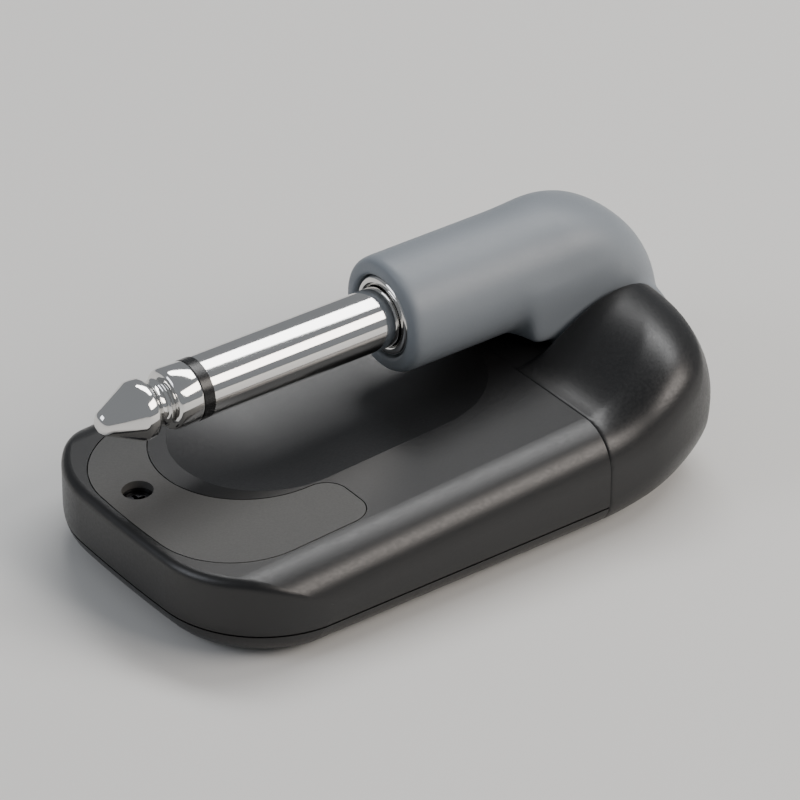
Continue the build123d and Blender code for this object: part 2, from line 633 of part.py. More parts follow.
with BuildPart() as axle:
    with BuildSketch(Plane.XZ.offset(-SLOT_NEAR + CLIP_START + CLIP_THICKNESS + AXLE_TAIL)):
        with Locations((PIVOT_X, PIVOT_Z)):
            Circle(AXLE_DIAMETER / 2)
            Circle(AXLE_BORE / 2, mode=Mode.SUBTRACT)
    extrude(amount=-(SLOT_FAR - SLOT_NEAR + 2 * (CLIP_START + CLIP_THICKNESS + AXLE_TAIL)))
    for start in CLIP_STARTS:
        add(rod(along_y(PIVOT_X, start, PIVOT_Z), AXLE_DIAMETER, CLIP_THICKNESS, CLIP_BORE / 2),
            mode=Mode.SUBTRACT)

with BuildPart() as axle_clips:
    for start in CLIP_STARTS:
        add(rod(along_y(PIVOT_X, start, PIVOT_Z), AXLE_DIAMETER / 2 + CLIP_WIDTH, CLIP_THICKNESS,
                CLIP_BORE / 2))

with BuildPart() as hinge_bushes:
    for wall, flange in ((SLOT_NEAR - WALL, SLOT_NEAR - WALL - BUSH_FLANGE), (SLOT_FAR, SLOT_FAR + WALL)):
        hole = AXLE_DIAMETER / 2 + BUSH_CLEARANCE
        add(rod(along_y(PIVOT_X, wall, PIVOT_Z), BUSH_RADIUS, WALL, hole))
        add(rod(along_y(PIVOT_X, flange, PIVOT_Z), BUSH_RADIUS + BUSH_FLANGE_WIDTH, BUSH_FLANGE, hole))

with BuildPart() as friction_washers:
    washer_gap = (SLOT_GAP - WASHER_THICKNESS) / 2
    for start in (SLOT_NEAR + washer_gap, SLOT_FAR - washer_gap - WASHER_THICKNESS):
        add(rod(along_y(PIVOT_X, start, PIVOT_Z), WASHER_DIAMETER / 2, WASHER_THICKNESS,
                AXLE_DIAMETER / 2 + BUSH_CLEARANCE))

# ---- arm ----
BEND_X = TUBE_X - BEND_RADIUS
BEND_MIDDLE = (BEND_X + BEND_RADIUS * sin(radians(45)), PLUG_Z - BEND_RADIUS * (1 - cos(radians(45))))

with BuildPart() as swivel_arm:
    with BuildLine(Plane.XZ.offset(-ARM_CENTRE)):
        Line((MOUTH_X, PLUG_Z), (BEND_X, PLUG_Z))
        ThreePointArc((BEND_X, PLUG_Z), BEND_MIDDLE, (TUBE_X, PLUG_Z - BEND_RADIUS))
        Line((TUBE_X, PLUG_Z - BEND_RADIUS), (TUBE_X, PIVOT_Z))
    with BuildSketch(along_x(MOUTH_X, ARM_CENTRE, PLUG_Z)):
        Circle(BARREL_RADIUS)
    sweep()
    with BuildSketch(ARM_PLANE):
        Circle(DISC_RADIUS)
    extrude(amount=ARM_WIDTH / 2, both=True)
    lobe_x = PIVOT_X - DISC_RADIUS - LOBE_LENGTH
    lobe_z = face_height(PIVOT_X - DISC_RADIUS / 2) + LOBE_CLEARANCE
    with BuildSketch(Plane.XZ.offset(-ARM_CENTRE)):
        with Locations((lobe_x, lobe_z)):
            lobe = Rectangle(PIVOT_X - lobe_x, PLUG_Z - lobe_z, align=(Align.MIN, Align.MIN))
        fillet(lobe.vertices().group_by(Axis.X)[0].sort_by(Axis.Y)[0], LOBE_ROUNDING)
    extrude(amount=ARM_WIDTH / 2, both=True)
    mouth_edge = swivel_arm.faces().sort_by(Axis.X)[0].edges()
    fillet(mouth_edge, MOUTH_ROUNDING)
    mouth = along_x(MOUTH_X, ARM_CENTRE, PLUG_Z)
    add(rod(mouth, COLLAR_DIAMETER / 2, -COLLAR_INSET - COLLAR_LENGTH), mode=Mode.SUBTRACT)
    add(rod(mouth, ROOT_DIAMETER / 2, -SLEEVE_ROOT), mode=Mode.SUBTRACT)
    add(rod(mouth.offset(-SLEEVE_ROOT + NUT_LENGTH + LUG_THICKNESS), CHAMBER_DIAMETER / 2, -CHAMBER_LENGTH),
        mode=Mode.SUBTRACT)
    with BuildSketch(ARM_PLANE):
        Circle(AXLE_DIAMETER / 2)
    extrude(amount=ARM_WIDTH, both=True, mode=Mode.SUBTRACT)
    with BuildSketch(upright(TUBE_X - AXLE_DIAMETER / 2, ARM_CENTRE, PIVOT_Z)):
        Circle(AXLE_BORE / 2)
    extrude(amount=ARM_RISE, mode=Mode.SUBTRACT)

# ---- plug ----
ROD_RADIUS = TIP_ROD / 2
TUBE_RADIUS = ROD_RADIUS + TUBE_WALL
ROD_BACK = SLEEVE_BACK + LUG_GAP + 2 * LUG_THICKNESS
SHOULDER_X = RING_END - TIP_GROOVE_END
WAIST_X = (RING_END - TIP_COLLAR + SHOULDER_X) / 2

with BuildPart() as plug_sleeve:
    add(rod(along_x(MOUTH_X, ARM_CENTRE, PLUG_Z), PLUG_DIAMETER / 2, SLEEVE_LENGTH, TUBE_RADIUS))
    add(rod(along_x(SLEEVE_BACK, ARM_CENTRE, PLUG_Z), ROOT_DIAMETER / 2, SLEEVE_ROOT, TUBE_RADIUS))

with BuildPart() as plug_collar:
    add(rod(along_x(MOUTH_X + COLLAR_INSET + COLLAR_LENGTH, ARM_CENTRE, PLUG_Z), COLLAR_DIAMETER / 2,
            COLLAR_LENGTH, ROOT_DIAMETER / 2))

with BuildPart() as plug_ring:
    add(rod(along_x(SLEEVE_END, ARM_CENTRE, PLUG_Z), PLUG_DIAMETER / 2, RING_LENGTH, ROD_RADIUS))

with BuildPart() as plug_insulator:
    add(rod(along_x(SLEEVE_BACK, ARM_CENTRE, PLUG_Z), TUBE_RADIUS, SLEEVE_BACK - SLEEVE_END, ROD_RADIUS))

with BuildPart() as plug_tip:
    tip = PLUG_DIAMETER / 2
    nose = RING_END - TIP_LENGTH
    groove_start = RING_END - TIP_GROOVE_START
    with BuildSketch(Plane.XZ.offset(-ARM_CENTRE)):
        with BuildLine():
            Line((RING_END, PLUG_Z), (RING_END, PLUG_Z + tip))
            Line((RING_END, PLUG_Z + tip), (groove_start, PLUG_Z + tip))
            ThreePointArc((groove_start, PLUG_Z + tip), (WAIST_X, PLUG_Z + TIP_WAIST / 2),
                          (SHOULDER_X, PLUG_Z + TIP_SHOULDER / 2))
            Line((SHOULDER_X, PLUG_Z + TIP_SHOULDER / 2), (nose, PLUG_Z + TIP_END / 2))
            Line((nose, PLUG_Z + TIP_END / 2), (nose, PLUG_Z))
            Line((nose, PLUG_Z), (RING_END, PLUG_Z))
        make_face()
    revolve(axis=Axis((0, ARM_CENTRE, PLUG_Z), (1, 0, 0)))
    fillet(plug_tip.faces().sort_by(Axis.X)[0].edges(), NOSE_ROUNDING)
    add(rod(along_x(ROD_BACK, ARM_CENTRE, PLUG_Z), ROD_RADIUS, ROD_BACK - RING_END))

with BuildPart() as plug_nut:
    with BuildSketch(along_x(SLEEVE_BACK, ARM_CENTRE, PLUG_Z)):
        RegularPolygon(NUT_DIAMETER / 2, 6)
        Circle(ROOT_DIAMETER / 2, mode=Mode.SUBTRACT)
    extrude(amount=NUT_LENGTH)

with BuildPart() as rear_washer:
    add(rod(along_x(SLEEVE_BACK + LUG_GAP, ARM_CENTRE, PLUG_Z), ROOT_DIAMETER / 2, LUG_GAP, ROD_RADIUS))

with BuildPart() as tip_lug:
    add(rod(along_x(SLEEVE_BACK + LUG_GAP + LUG_THICKNESS, ARM_CENTRE, PLUG_Z), ROOT_DIAMETER / 2 - FIT,
            LUG_THICKNESS, ROD_RADIUS))

with BuildPart() as sleeve_lug:
    add(rod(along_x(SLEEVE_BACK - NUT_LENGTH, ARM_CENTRE, PLUG_Z), NUT_DIAMETER / 2, LUG_THICKNESS,
            ROOT_DIAMETER / 2))

# ---- lead from the hollow axle to the board ----
LEAD_START = (PIVOT_X, SLOT_NEAR - CLIP_START - CLIP_THICKNESS - AXLE_TAIL + WALL, PIVOT_Z)
LEAD_END_X = BATTERY_X - BATTERY_LENGTH / 2 - BATTERY_GAP - LEAD_DIAMETER
LEAD_Z = WALL + PAD_THICKNESS + BATTERY_HEIGHT + LEAD_DIAMETER

with BuildPart() as signal_lead:
    with BuildLine():
        FilletPolyline(
            LEAD_START,
            (PIVOT_X, -LEAD_SIDE, PIVOT_Z),
            (PIVOT_X - SEAM_SETBACK, -LEAD_SIDE, LEAD_Z),
            (LEAD_END_X, -LEAD_SIDE, LEAD_Z),
            (LEAD_END_X, -LEAD_SIDE, BOARD_TOP),
            radius=LEAD_BEND / 2,
        )
    with BuildSketch(Plane(origin=LEAD_START, x_dir=(1, 0, 0), z_dir=(0, -1, 0))):
        Circle(LEAD_DIAMETER / 2)
    sweep()

PIECES = {
    "main_shell": main_shell,
    "hinge_housing": hinge_housing,
    "outer_cover": outer_cover,
    "end_plate": end_plate,
    "case_screws": case_screws,
    "hinge_screws": hinge_screws,
    "board_screws": board_screws,
    "circuit_board": circuit_board,
    "radio_shield": radio_shield,
    "processor_chip": processor_chip,
    "crystal": crystal,
    "antenna": antenna,
    "usb_port": usb_port,
    "usb_tongue": usb_tongue,
    "power_button": power_button,
    "switch_plunger": switch_plunger,
    "power_switch": power_switch,
    "light_lens": light_lens,
    "status_led": status_led,
    "battery_pad": battery_pad,
    "battery_cell": battery_cell,
    "axle": axle,
    "axle_clips": axle_clips,
    "hinge_bushes": hinge_bushes,
    "friction_washers": friction_washers,
    "swivel_arm": swivel_arm,
    "plug_sleeve": plug_sleeve,
    "plug_collar": plug_collar,
    "plug_ring": plug_ring,
    "plug_insulator": plug_insulator,
    "plug_tip": plug_tip,
    "plug_nut": plug_nut,
    "rear_washer": rear_washer,
    "tip_lug": tip_lug,
    "sleeve_lug": sleeve_lug,
    "signal_lead": signal_lead,
}
for piece_name, piece in PIECES.items():
    keep(piece_name, piece.part)
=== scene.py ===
# %% [markdown]
# # A wireless guitar transmitter
# The real object is a flat, rounded black body whose jack plug sits on a grey arm. The arm folds over
# the face of the body, and swings half a turn about an axle in the body's thick end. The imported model
# gives every piece its place and its size. This lesson gives the pieces their finishes, and makes anew
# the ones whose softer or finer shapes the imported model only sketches.

import json
import math

import bpy
import bmesh
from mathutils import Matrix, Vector


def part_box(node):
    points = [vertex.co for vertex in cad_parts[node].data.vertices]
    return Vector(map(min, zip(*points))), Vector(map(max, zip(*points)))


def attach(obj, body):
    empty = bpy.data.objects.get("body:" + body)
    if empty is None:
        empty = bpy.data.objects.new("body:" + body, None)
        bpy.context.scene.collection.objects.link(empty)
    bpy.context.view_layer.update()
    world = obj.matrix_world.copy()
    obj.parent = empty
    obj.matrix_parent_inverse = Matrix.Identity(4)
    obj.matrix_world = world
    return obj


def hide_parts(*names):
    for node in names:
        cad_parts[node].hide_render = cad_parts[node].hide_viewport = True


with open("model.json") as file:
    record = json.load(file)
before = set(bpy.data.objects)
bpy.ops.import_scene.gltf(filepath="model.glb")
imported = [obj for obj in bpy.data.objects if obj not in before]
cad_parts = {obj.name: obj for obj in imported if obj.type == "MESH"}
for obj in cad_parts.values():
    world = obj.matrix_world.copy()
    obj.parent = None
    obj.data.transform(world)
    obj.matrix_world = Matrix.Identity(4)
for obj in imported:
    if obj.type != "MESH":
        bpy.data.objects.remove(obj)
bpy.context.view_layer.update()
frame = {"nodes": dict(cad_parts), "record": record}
NODES = frame["nodes"]
MM = 0.001

# %% [markdown]
# ## Two helpers for every material
# Paint charts give colours as sRGB hex values, while the shaders work in linear light, so one function
# turns the first into the second. Another adds a node to a tree, with its settings and its links. All
# the finishes below are built with these two. They read Object coordinates, so that a pattern stays on
# its piece when the arm turns.

# %% Helpers for colours and nodes
def linear(hex_colour):
    """An sRGB hex colour as linear red, green, blue and alpha."""
    parts = [int(hex_colour[i:i + 2], 16) / 255 for i in (1, 3, 5)]
    return tuple(p / 12.92 if p <= 0.04045 else ((p + 0.055) / 1.055) ** 2.4 for p in parts) + (1.0,)


def add_node(tree, kind, links=None, **settings):
    """A new node in the tree, with its settings, and its inputs set to values or joined up."""
    node = tree.nodes.new(kind)
    for name, value in settings.items():
        setattr(node, name, value)
    for socket, value in (links or {}).items():
        if isinstance(value, bpy.types.NodeSocket):
            tree.links.new(value, node.inputs[socket])
        else:
            node.inputs[socket].default_value = value
    return node


print("middle grey in linear light:", [round(value, 3) for value in linear("#808080")])

# %% [markdown]
# ## What the finishes share
# Seen close, no moulded or turned surface is one flat colour. Its colour drifts a little from place to
# place, and a fine grain breaks up its gloss. Two noises do this: a wide one mixes two close colours, and
# a fine one moves the roughness and a very shallow bump. A real size in millimetres sets each scale, so
# the grain stays true when the object's size changes.

# %% One finish from two colours and a grain
NOISE_LOW, NOISE_HIGH = 0.3, 0.7  # nearly all of a noise lies between these


def grain_scale(millimetres):
    """The scale of a noise texture whose grains are about this wide."""
    return 1.0 / (millimetres * MM)


def finish(name, dark, light, roughness, spread, grain_mm, depth_mm,
           cloud_mm=9.0, stretch=(1, 1, 1), **shader):
    """A material of two close colours in slow clouds, with a fine grain in its gloss and its bump.

    The grain runs in lines along each axis whose stretch is 0. Other keywords go on the shader's
    sockets."""
    material = bpy.data.materials.new(name)
    material.use_nodes = True
    tree = material.node_tree
    tree.nodes.clear()
    place = add_node(tree, "ShaderNodeTexCoord").outputs["Object"]
    clouds = add_node(tree, "ShaderNodeTexNoise",
                      {"Vector": place, "Scale": grain_scale(cloud_mm), "Detail": 3.0})
    # a Mix node's inputs 0, 6 and 7 are its factor and two colours, and its output 2 is the mixed colour
    colour = add_node(tree, "ShaderNodeMix",
                      {0: clouds.outputs["Fac"], 6: linear(dark), 7: linear(light)}, data_type="RGBA")
    run = add_node(tree, "ShaderNodeMapping", {"Vector": place, "Scale": stretch})
    grain = add_node(tree, "ShaderNodeTexNoise",
                     {"Vector": run.outputs[0], "Scale": grain_scale(grain_mm), "Detail": 2.0})
    gloss = add_node(tree, "ShaderNodeMapRange",
                     {"Value": grain.outputs["Fac"], "From Min": NOISE_LOW, "From Max": NOISE_HIGH,
                      "To Min": max(0.02, roughness - spread), "To Max": roughness + spread})
    bump = add_node(tree, "ShaderNodeBump",
                    {"Height": grain.outputs["Fac"], "Distance": depth_mm * MM, "Strength": 1.0})
    links = {"Base Color": colour.outputs[2], "Roughness": gloss.outputs[0], "Normal": bump.outputs[0]}
    links.update({socket.replace("_", " "): value for socket, value in shader.items()})
    surface = add_node(tree, "ShaderNodeBsdfPrincipled", links)
    add_node(tree, "ShaderNodeOutputMaterial", {"Surface": surface.outputs[0]})
    return material


# %% [markdown]
# ## Moulded plastics
# Injection-moulded ABS takes the finish of its steel mould. The shells come from a spark-eroded mould
# with a very fine grain, which leaves a satin surface: highlights are broad and soft, and a slow
# variation comes from how the plastic cooled. The plate's mould is coarser, so it stays matte and looks
# lighter. The arm is a soft grey plastic with the same fine grain. The button is glossier, since thumbs
# polish it, and the ring on the plug is smooth turned nylon.

# %% The plastics
PLASTICS = {
    # satin: a broad, soft sheen along every rounded edge, a little warm where light grazes it
    "body_black": finish("satin_abs_spark_eroded_black", "#0b0b0c", "#131212", 0.36, 0.05, 0.30, 0.004,
                         Specular_IOR_Level=0.55),
    # matte: no clear highlight, so it reads lighter than the shell beside it
    "plate_black": finish("matte_abs_textured_dark_grey", "#444443", "#4c4b49", 0.60, 0.06, 0.22, 0.012),
    # soft satin: even cool grey with a wide, dim sheen
    "arm_grey": finish("satin_abs_moulded_cool_grey", "#787e84", "#82888e", 0.46, 0.05, 0.28, 0.005),
    # smooth nylon: small dark band with a narrow glint
    "ring_black": finish("turned_nylon_black", "#0c0c0d", "#121213", 0.28, 0.03, 0.12, 0.0004),
    # milky and slightly waxy: the tube and the washer inside the plug
    "nylon_white": finish("extruded_nylon_natural", "#e4e1d6", "#ece9e0", 0.35, 0.05, 0.4, 0.003),
    # polished by use: a sharper glint than the shell round it
    "button_black": finish("polished_abs_black", "#141415", "#1b1b1c", 0.30, 0.05, 0.30, 0.004),
    # dull and fine, like slate
    "chip_black": finish("moulded_epoxy_black", "#161617", "#202021", 0.55, 0.06, 0.12, 0.006),
    # smooth and bright, a clean small highlight
    "ceramic_white": finish("fired_ceramic_white", "#e9e6dc", "#f2efe6", 0.30, 0.05, 0.15, 0.003),
    # open cells: rough, with no highlight at all
    "foam_grey": finish("cellular_foam_grey", "#5e6063", "#74767a", 0.85, 0.06, 0.35, 0.12),
    # supple and slightly greasy: a long thin highlight
    "lead_red": finish("pvc_wire_sleeve_red", "#9a1f1b", "#a82822", 0.38, 0.05, 0.5, 0.004),
    # clear plastic: takes its colour from the light behind it
    "lens_clear": finish("clear_acrylic_moulded", "#e9eef0", "#f4f7f8", 0.12, 0.04, 0.5, 0.002,
                         Transmission_Weight=0.85, IOR=1.49),
}
print("plastics:", len(PLASTICS))

# %% [markdown]
# ## Metals
# The plug is brass, turned on a lathe, then nickel plated and polished. Its reflections are almost those
# of a mirror, and only very faint rings round its axis are left from turning. A noise that varies only
# along the axis draws such rings. Real rings stand closer together, but at their real spacing they would
# not show at all. The axle's rings run round its own axis, and stamped pieces have a plain grain.

# %% The metals
METALS = {
    # mirror-like: crisp bright and dark bands along the plug
    "plug_nickel": finish("nickel_plated_brass_turned", "#dedddb", "#e6e5e3", 0.07, 0.03, 0.16, 0.0006,
                          stretch=(1, 0, 0), Metallic=1.0),
    # warm yellow, with highlights blurred by the press
    "contact_brass": finish("stamped_brass", "#c9a45c", "#d4b06a", 0.28, 0.06, 0.25, 0.003, Metallic=1.0),
    # pressed from powder: porous, so its brown shine is blurred
    "bush_bronze": finish("sintered_bronze", "#9c6b3e", "#a87848", 0.42, 0.08, 0.12, 0.008, Metallic=1.0),
    # cool and bright, with faint rings from turning
    "steel": finish("turned_stainless_steel", "#b9bbbd", "#c6c8ca", 0.25, 0.06, 0.2, 0.002,
                    stretch=(0, 1, 0), Metallic=1.0),
    # blackened: dark, with glints only on the edges of the drive
    "screw_black": finish("blackened_steel_screw", "#3a3a3c", "#4a4a4d", 0.32, 0.08, 0.2, 0.004,
                          Metallic=1.0),
    # flat sheet: an even, slightly cloudy mirror
    "shield_tin": finish("tinned_steel_sheet", "#c2c3c2", "#d0d1d0", 0.30, 0.08, 0.6, 0.004,
                         Metallic=1.0),
    # drawn through a die: straight fine lines into the port
    "port_steel": finish("drawn_steel_plated", "#b4b6b8", "#c2c4c6", 0.24, 0.05, 0.3, 0.002,
                         stretch=(1, 0, 1), Metallic=1.0),
    # crinkled: many small glints
    "cell_foil": finish("laminated_aluminium_foil", "#c9cbcd", "#dadcde", 0.32, 0.10, 1.6, 0.12,
                        Metallic=1.0),
}
print("metals:", len(METALS))

# %% [markdown]
# ## The board's lacquer
# A circuit board is glass cloth and epoxy under a green solder lacquer. Copper tracks lie under the
# lacquer and show as lighter lines. A brick pattern stands for them: its joints are the tracks. It is
# laid over the finish's own colour, so the lacquer keeps its gloss.

# %% The board
TRACK_PITCH_MM = 6.0
TRACK_HALF_WIDTH = 0.035  # as a part of the pitch


def lacquered_board():
    """Green solder lacquer over copper tracks about 0.4 mm wide."""
    material = finish("solder_lacquer_on_glass_epoxy", "#11492a", "#145231", 0.28, 0.05, 0.4, 0.003)
    tree = material.node_tree
    place = next(n for n in tree.nodes if n.type == "TEX_COORD").outputs["Object"]
    surface = next(n for n in tree.nodes if n.type == "BSDF_PRINCIPLED")
    tracks = add_node(tree, "ShaderNodeTexBrick",
                      {"Vector": place, "Scale": grain_scale(TRACK_PITCH_MM),
                       "Mortar Size": TRACK_HALF_WIDTH, "Mortar": linear("#2b7a4c"),
                       "Color1": linear("#11492a"), "Color2": linear("#14502e")})
    tree.links.new(tracks.outputs["Color"], surface.inputs["Base Color"])
    return material


BOARD = lacquered_board()
print("board:", BOARD.name, "tracks", round(2 * TRACK_HALF_WIDTH * TRACK_PITCH_MM, 2), "mm wide")

# %% [markdown]
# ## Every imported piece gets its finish
# The frame's record says which slot each piece belongs to, so one table of finishes serves them all, and
# a piece that is added later needs no new line here.

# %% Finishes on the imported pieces
FINISHES = {**PLASTICS, **METALS, "board_green": BOARD}
SLOT_OF = {part["node"]: part["material_slot"] for part in frame["record"]["subparts"]}
for name, node in NODES.items():
    node.data.materials.clear()
    node.data.materials.append(FINISHES[SLOT_OF[name]])
print("finishes:", len(FINISHES), "on", len(NODES), "packed pieces")

# %% [markdown]
# ## Making a new piece
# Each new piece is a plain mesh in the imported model's own place. It takes the finish of a slot, rides
# on the body whose piece it stands for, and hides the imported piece.

# %% Put a new piece in the place of a packed one
def put_in_place(name, mesh, node, body):
    """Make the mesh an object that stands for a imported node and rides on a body."""
    piece = bpy.data.objects.new(name, mesh)
    bpy.context.scene.collection.objects.link(piece)
    mesh.materials.clear()
    mesh.materials.append(FINISHES[SLOT_OF[node]])
    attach(piece, body)
    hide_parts(node)
    print(name, "stands for", node, "with", len(mesh.polygons), "faces")


# %% [markdown]
# ## The arm
# The real arm is one moulding: a round barrel that holds the plug, an elbow that grows wider and squarer,
# a disc that turns between the cheeks, and a small lobe that reaches back under the barrel. All of these
# flow into each other. It could be boxes and cylinders joined by Booleans and bevels, but the joins would
# stay hard. Here each form is a formula for how far a point lies from its surface. Soft minimums join the
# forms, soft maximums cut the bores, and the surface where the distance is 0 becomes the mesh. Each row
# of the table names a result, a Math node's operation and its terms. Lengths are millimetres from the
# axle, x along the body, y across it and z up.

# %% The arm's formula as a table of sums
ARM_SIZES = {
    "Reach": 25.4,
    "Rise": 10.55,
    "Barrel Radius": 6.15,
    "Bend Radius": 7.6,
    "Bend X": -5.75,
    "Elbow Start": 10.0,
    "Elbow Length": 12.0,
    "Squareness": 0.4,
    "Disc Radius": 8.0,
    "Half Width": 6.5,
    "Lobe Reach": 10.6,
    "Lobe Foot": 4.27,
    "Lobe Inset": 0.3,
    "Seat Radius": 4.4,
    "Seat Depth": 2.1,
    "Thread Radius": 3.0,
    "Thread Depth": 7.0,
    "Chamber Radius": 4.5,
    "Chamber Middle": 8.35,
    "Chamber Half": 3.75,
    "Axle Radius": 2.5,
    "Mouth Softness": 1.8,
    "Edge Softness": 1.6,
    "Web Softness": 2.6,
    "Stem Softness": 0.8,
    "Flank Softness": 1.0,
    "Bore Softness": 0.35,
}
ARM_SUMS = [
    # how far along the elbow, eased from 0 in the barrel to 1 at the disc
    ("a0", "ADD", "x", "Elbow Start"), ("a1", "DIVIDE", "a0", "Elbow Length"),
    ("a2", "MAXIMUM", "a1", 0.0), ("a3", "MINIMUM", "a2", 1.0), ("a4", "MULTIPLY", "a3", "a3"),
    ("a5", "MULTIPLY", "a3", -2.0), ("a6", "ADD", "a5", 3.0), ("turn", "MULTIPLY", "a4", "a6"),
    # distance from the centre line, in the plane of the bend
    ("b0", "SUBTRACT", "x", "Bend X"), ("u", "MAXIMUM", "b0", 0.0),
    ("b1", "SUBTRACT", "Rise", "Bend Radius"), ("b2", "SUBTRACT", "z", "b1"),
    ("w", "MAXIMUM", "b2", 0.0), ("b3", "MULTIPLY", "u", "u"), ("b4", "MULTIPLY_ADD", "w", "w", "b3"),
    ("b5", "SQRT", "b4"), ("b6", "SUBTRACT", "b5", "Bend Radius"), ("off", "ABSOLUTE", "b6"),
    ("side", "ABSOLUTE", "y"),
    # the tube's section, a circle that grows wider and squarer
    ("c0", "SUBTRACT", "Half Width", "Barrel Radius"),
    ("c1", "MULTIPLY_ADD", "c0", "turn", "Barrel Radius"), ("c2", "DIVIDE", "Barrel Radius", "c1"),
    ("c3", "MULTIPLY", "side", "c2"), ("n", "MULTIPLY_ADD", "Squareness", "turn", 2.0),
    ("c4", "POWER", "c3", "n"), ("c5", "POWER", "off", "n"), ("c6", "ADD", "c4", "c5"),
    ("c7", "DIVIDE", 1.0, "n"), ("c8", "POWER", "c6", "c7"),
    ("tube", "SUBTRACT", "c8", "Barrel Radius"),
    # the mouth's soft lip, and the tube's end at the axle
    ("d0", "ADD", "x", "Reach"), ("d1", "MULTIPLY", "d0", -1.0),
    ("d2", "SMOOTH_MAX", "tube", "d1", "Mouth Softness"), ("d3", "MULTIPLY", "z", -1.0),
    ("stem", "MAXIMUM", "d2", "d3"),
    # the disc that turns in the slot
    ("e0", "MULTIPLY", "x", "x"), ("e1", "MULTIPLY_ADD", "z", "z", "e0"), ("round", "SQRT", "e1"),
    ("e2", "SUBTRACT", "round", "Disc Radius"), ("flank", "SUBTRACT", "side", "Half Width"),
    ("disc", "SMOOTH_MAX", "e2", "flank", "Edge Softness"),
    # the lobe, a soft block under the barrel
    ("f0", "MULTIPLY", "Lobe Reach", 0.5), ("f1", "ADD", "x", "f0"), ("f2", "ABSOLUTE", "f1"),
    ("f3", "SUBTRACT", "f2", "f0"), ("f4", "ADD", "Rise", "Lobe Foot"), ("f5", "MULTIPLY", "f4", 0.5),
    ("f6", "SUBTRACT", "z", "f5"), ("f7", "ABSOLUTE", "f6"), ("f8", "SUBTRACT", "Rise", "Lobe Foot"),
    ("f9", "MULTIPLY", "f8", -0.5), ("f10", "ADD", "f7", "f9"),
    ("f11", "SMOOTH_MAX", "f3", "f10", "Web Softness"), ("f12", "ADD", "flank", "Lobe Inset"),
    ("lobe", "SMOOTH_MAX", "f11", "f12", "Edge Softness"),
    # all joined, and kept flush with the disc's sides and tail
    ("g0", "SMOOTH_MIN", "stem", "disc", "Stem Softness"),
    ("g1", "SMOOTH_MIN", "g0", "lobe", "Web Softness"),
    ("g2", "SMOOTH_MAX", "g1", "flank", "Flank Softness"), ("g3", "SUBTRACT", "x", "Disc Radius"),
    ("solid", "MAXIMUM", "g2", "g3"),
    # the bores for the collar, the sleeve's thread, its nut and the axle
    ("h0", "SUBTRACT", "z", "Rise"), ("h1", "MULTIPLY", "h0", "h0"),
    ("h2", "MULTIPLY_ADD", "y", "y", "h1"), ("bore", "SQRT", "h2"),
    ("h3", "SUBTRACT", "bore", "Seat Radius"), ("h4", "SUBTRACT", "d0", "Seat Depth"),
    ("seat", "MAXIMUM", "h3", "h4"), ("h5", "SUBTRACT", "bore", "Thread Radius"),
    ("h6", "SUBTRACT", "d0", "Thread Depth"), ("thread", "MAXIMUM", "h5", "h6"),
    ("h7", "SUBTRACT", "bore", "Chamber Radius"), ("h8", "SUBTRACT", "d0", "Chamber Middle"),
    ("h9", "ABSOLUTE", "h8"), ("h10", "SUBTRACT", "h9", "Chamber Half"),
    ("chamber", "MAXIMUM", "h7", "h10"), ("axle", "SUBTRACT", "round", "Axle Radius"),
    ("i0", "MINIMUM", "seat", "thread"), ("i1", "MINIMUM", "i0", "chamber"),
    ("i2", "MINIMUM", "i1", "axle"), ("hollow", "MULTIPLY", "i2", -1.0),
    ("distance", "SMOOTH_MAX", "solid", "hollow", "Bore Softness"),
    ("density", "SUBTRACT", 1.0, "distance"),
]
print("sizes and sums in the arm's formula:", len(ARM_SIZES), len(ARM_SUMS))

# %% [markdown]
# ## From a tree to a plain mesh
# A Geometry Nodes tree needs an object to run on. An empty host carries it just long enough for its
# result to be copied, so what is left is a plain mesh with no modifier. The tree's inputs are set by
# their identifiers, since a modifier doesn't know them by name.

# %% Run a tree once
def mesh_from(tree, values):
    """The plain mesh that a Geometry Nodes tree makes from a table of input values."""
    host = bpy.data.objects.new(tree.name, bpy.data.meshes.new(tree.name))
    bpy.context.scene.collection.objects.link(host)
    growth = host.modifiers.new("growth", "NODES")
    growth.node_group = tree
    for socket in tree.interface.items_tree:
        if socket.in_out == "INPUT":
            growth[socket.identifier] = values[socket.name]
    mesh = bpy.data.meshes.new_from_object(host.evaluated_get(bpy.context.evaluated_depsgraph_get()))
    host.modifiers.remove(growth)
    bpy.data.objects.remove(host)
    print(tree.name, "nodes:", len(tree.nodes), "vertices:", len(mesh.vertices))
    return mesh


# %% [markdown]
# ## From a formula to a mesh
# The same few nodes turn any such table into a mesh: a position, the sums, a volume, its surface, and a
# move into place. The volume holds 1 less the distance, so the surface lies where it is 1. Its cells are
# a fifth to a quarter of a millimetre wide, which is finer than any edge here.

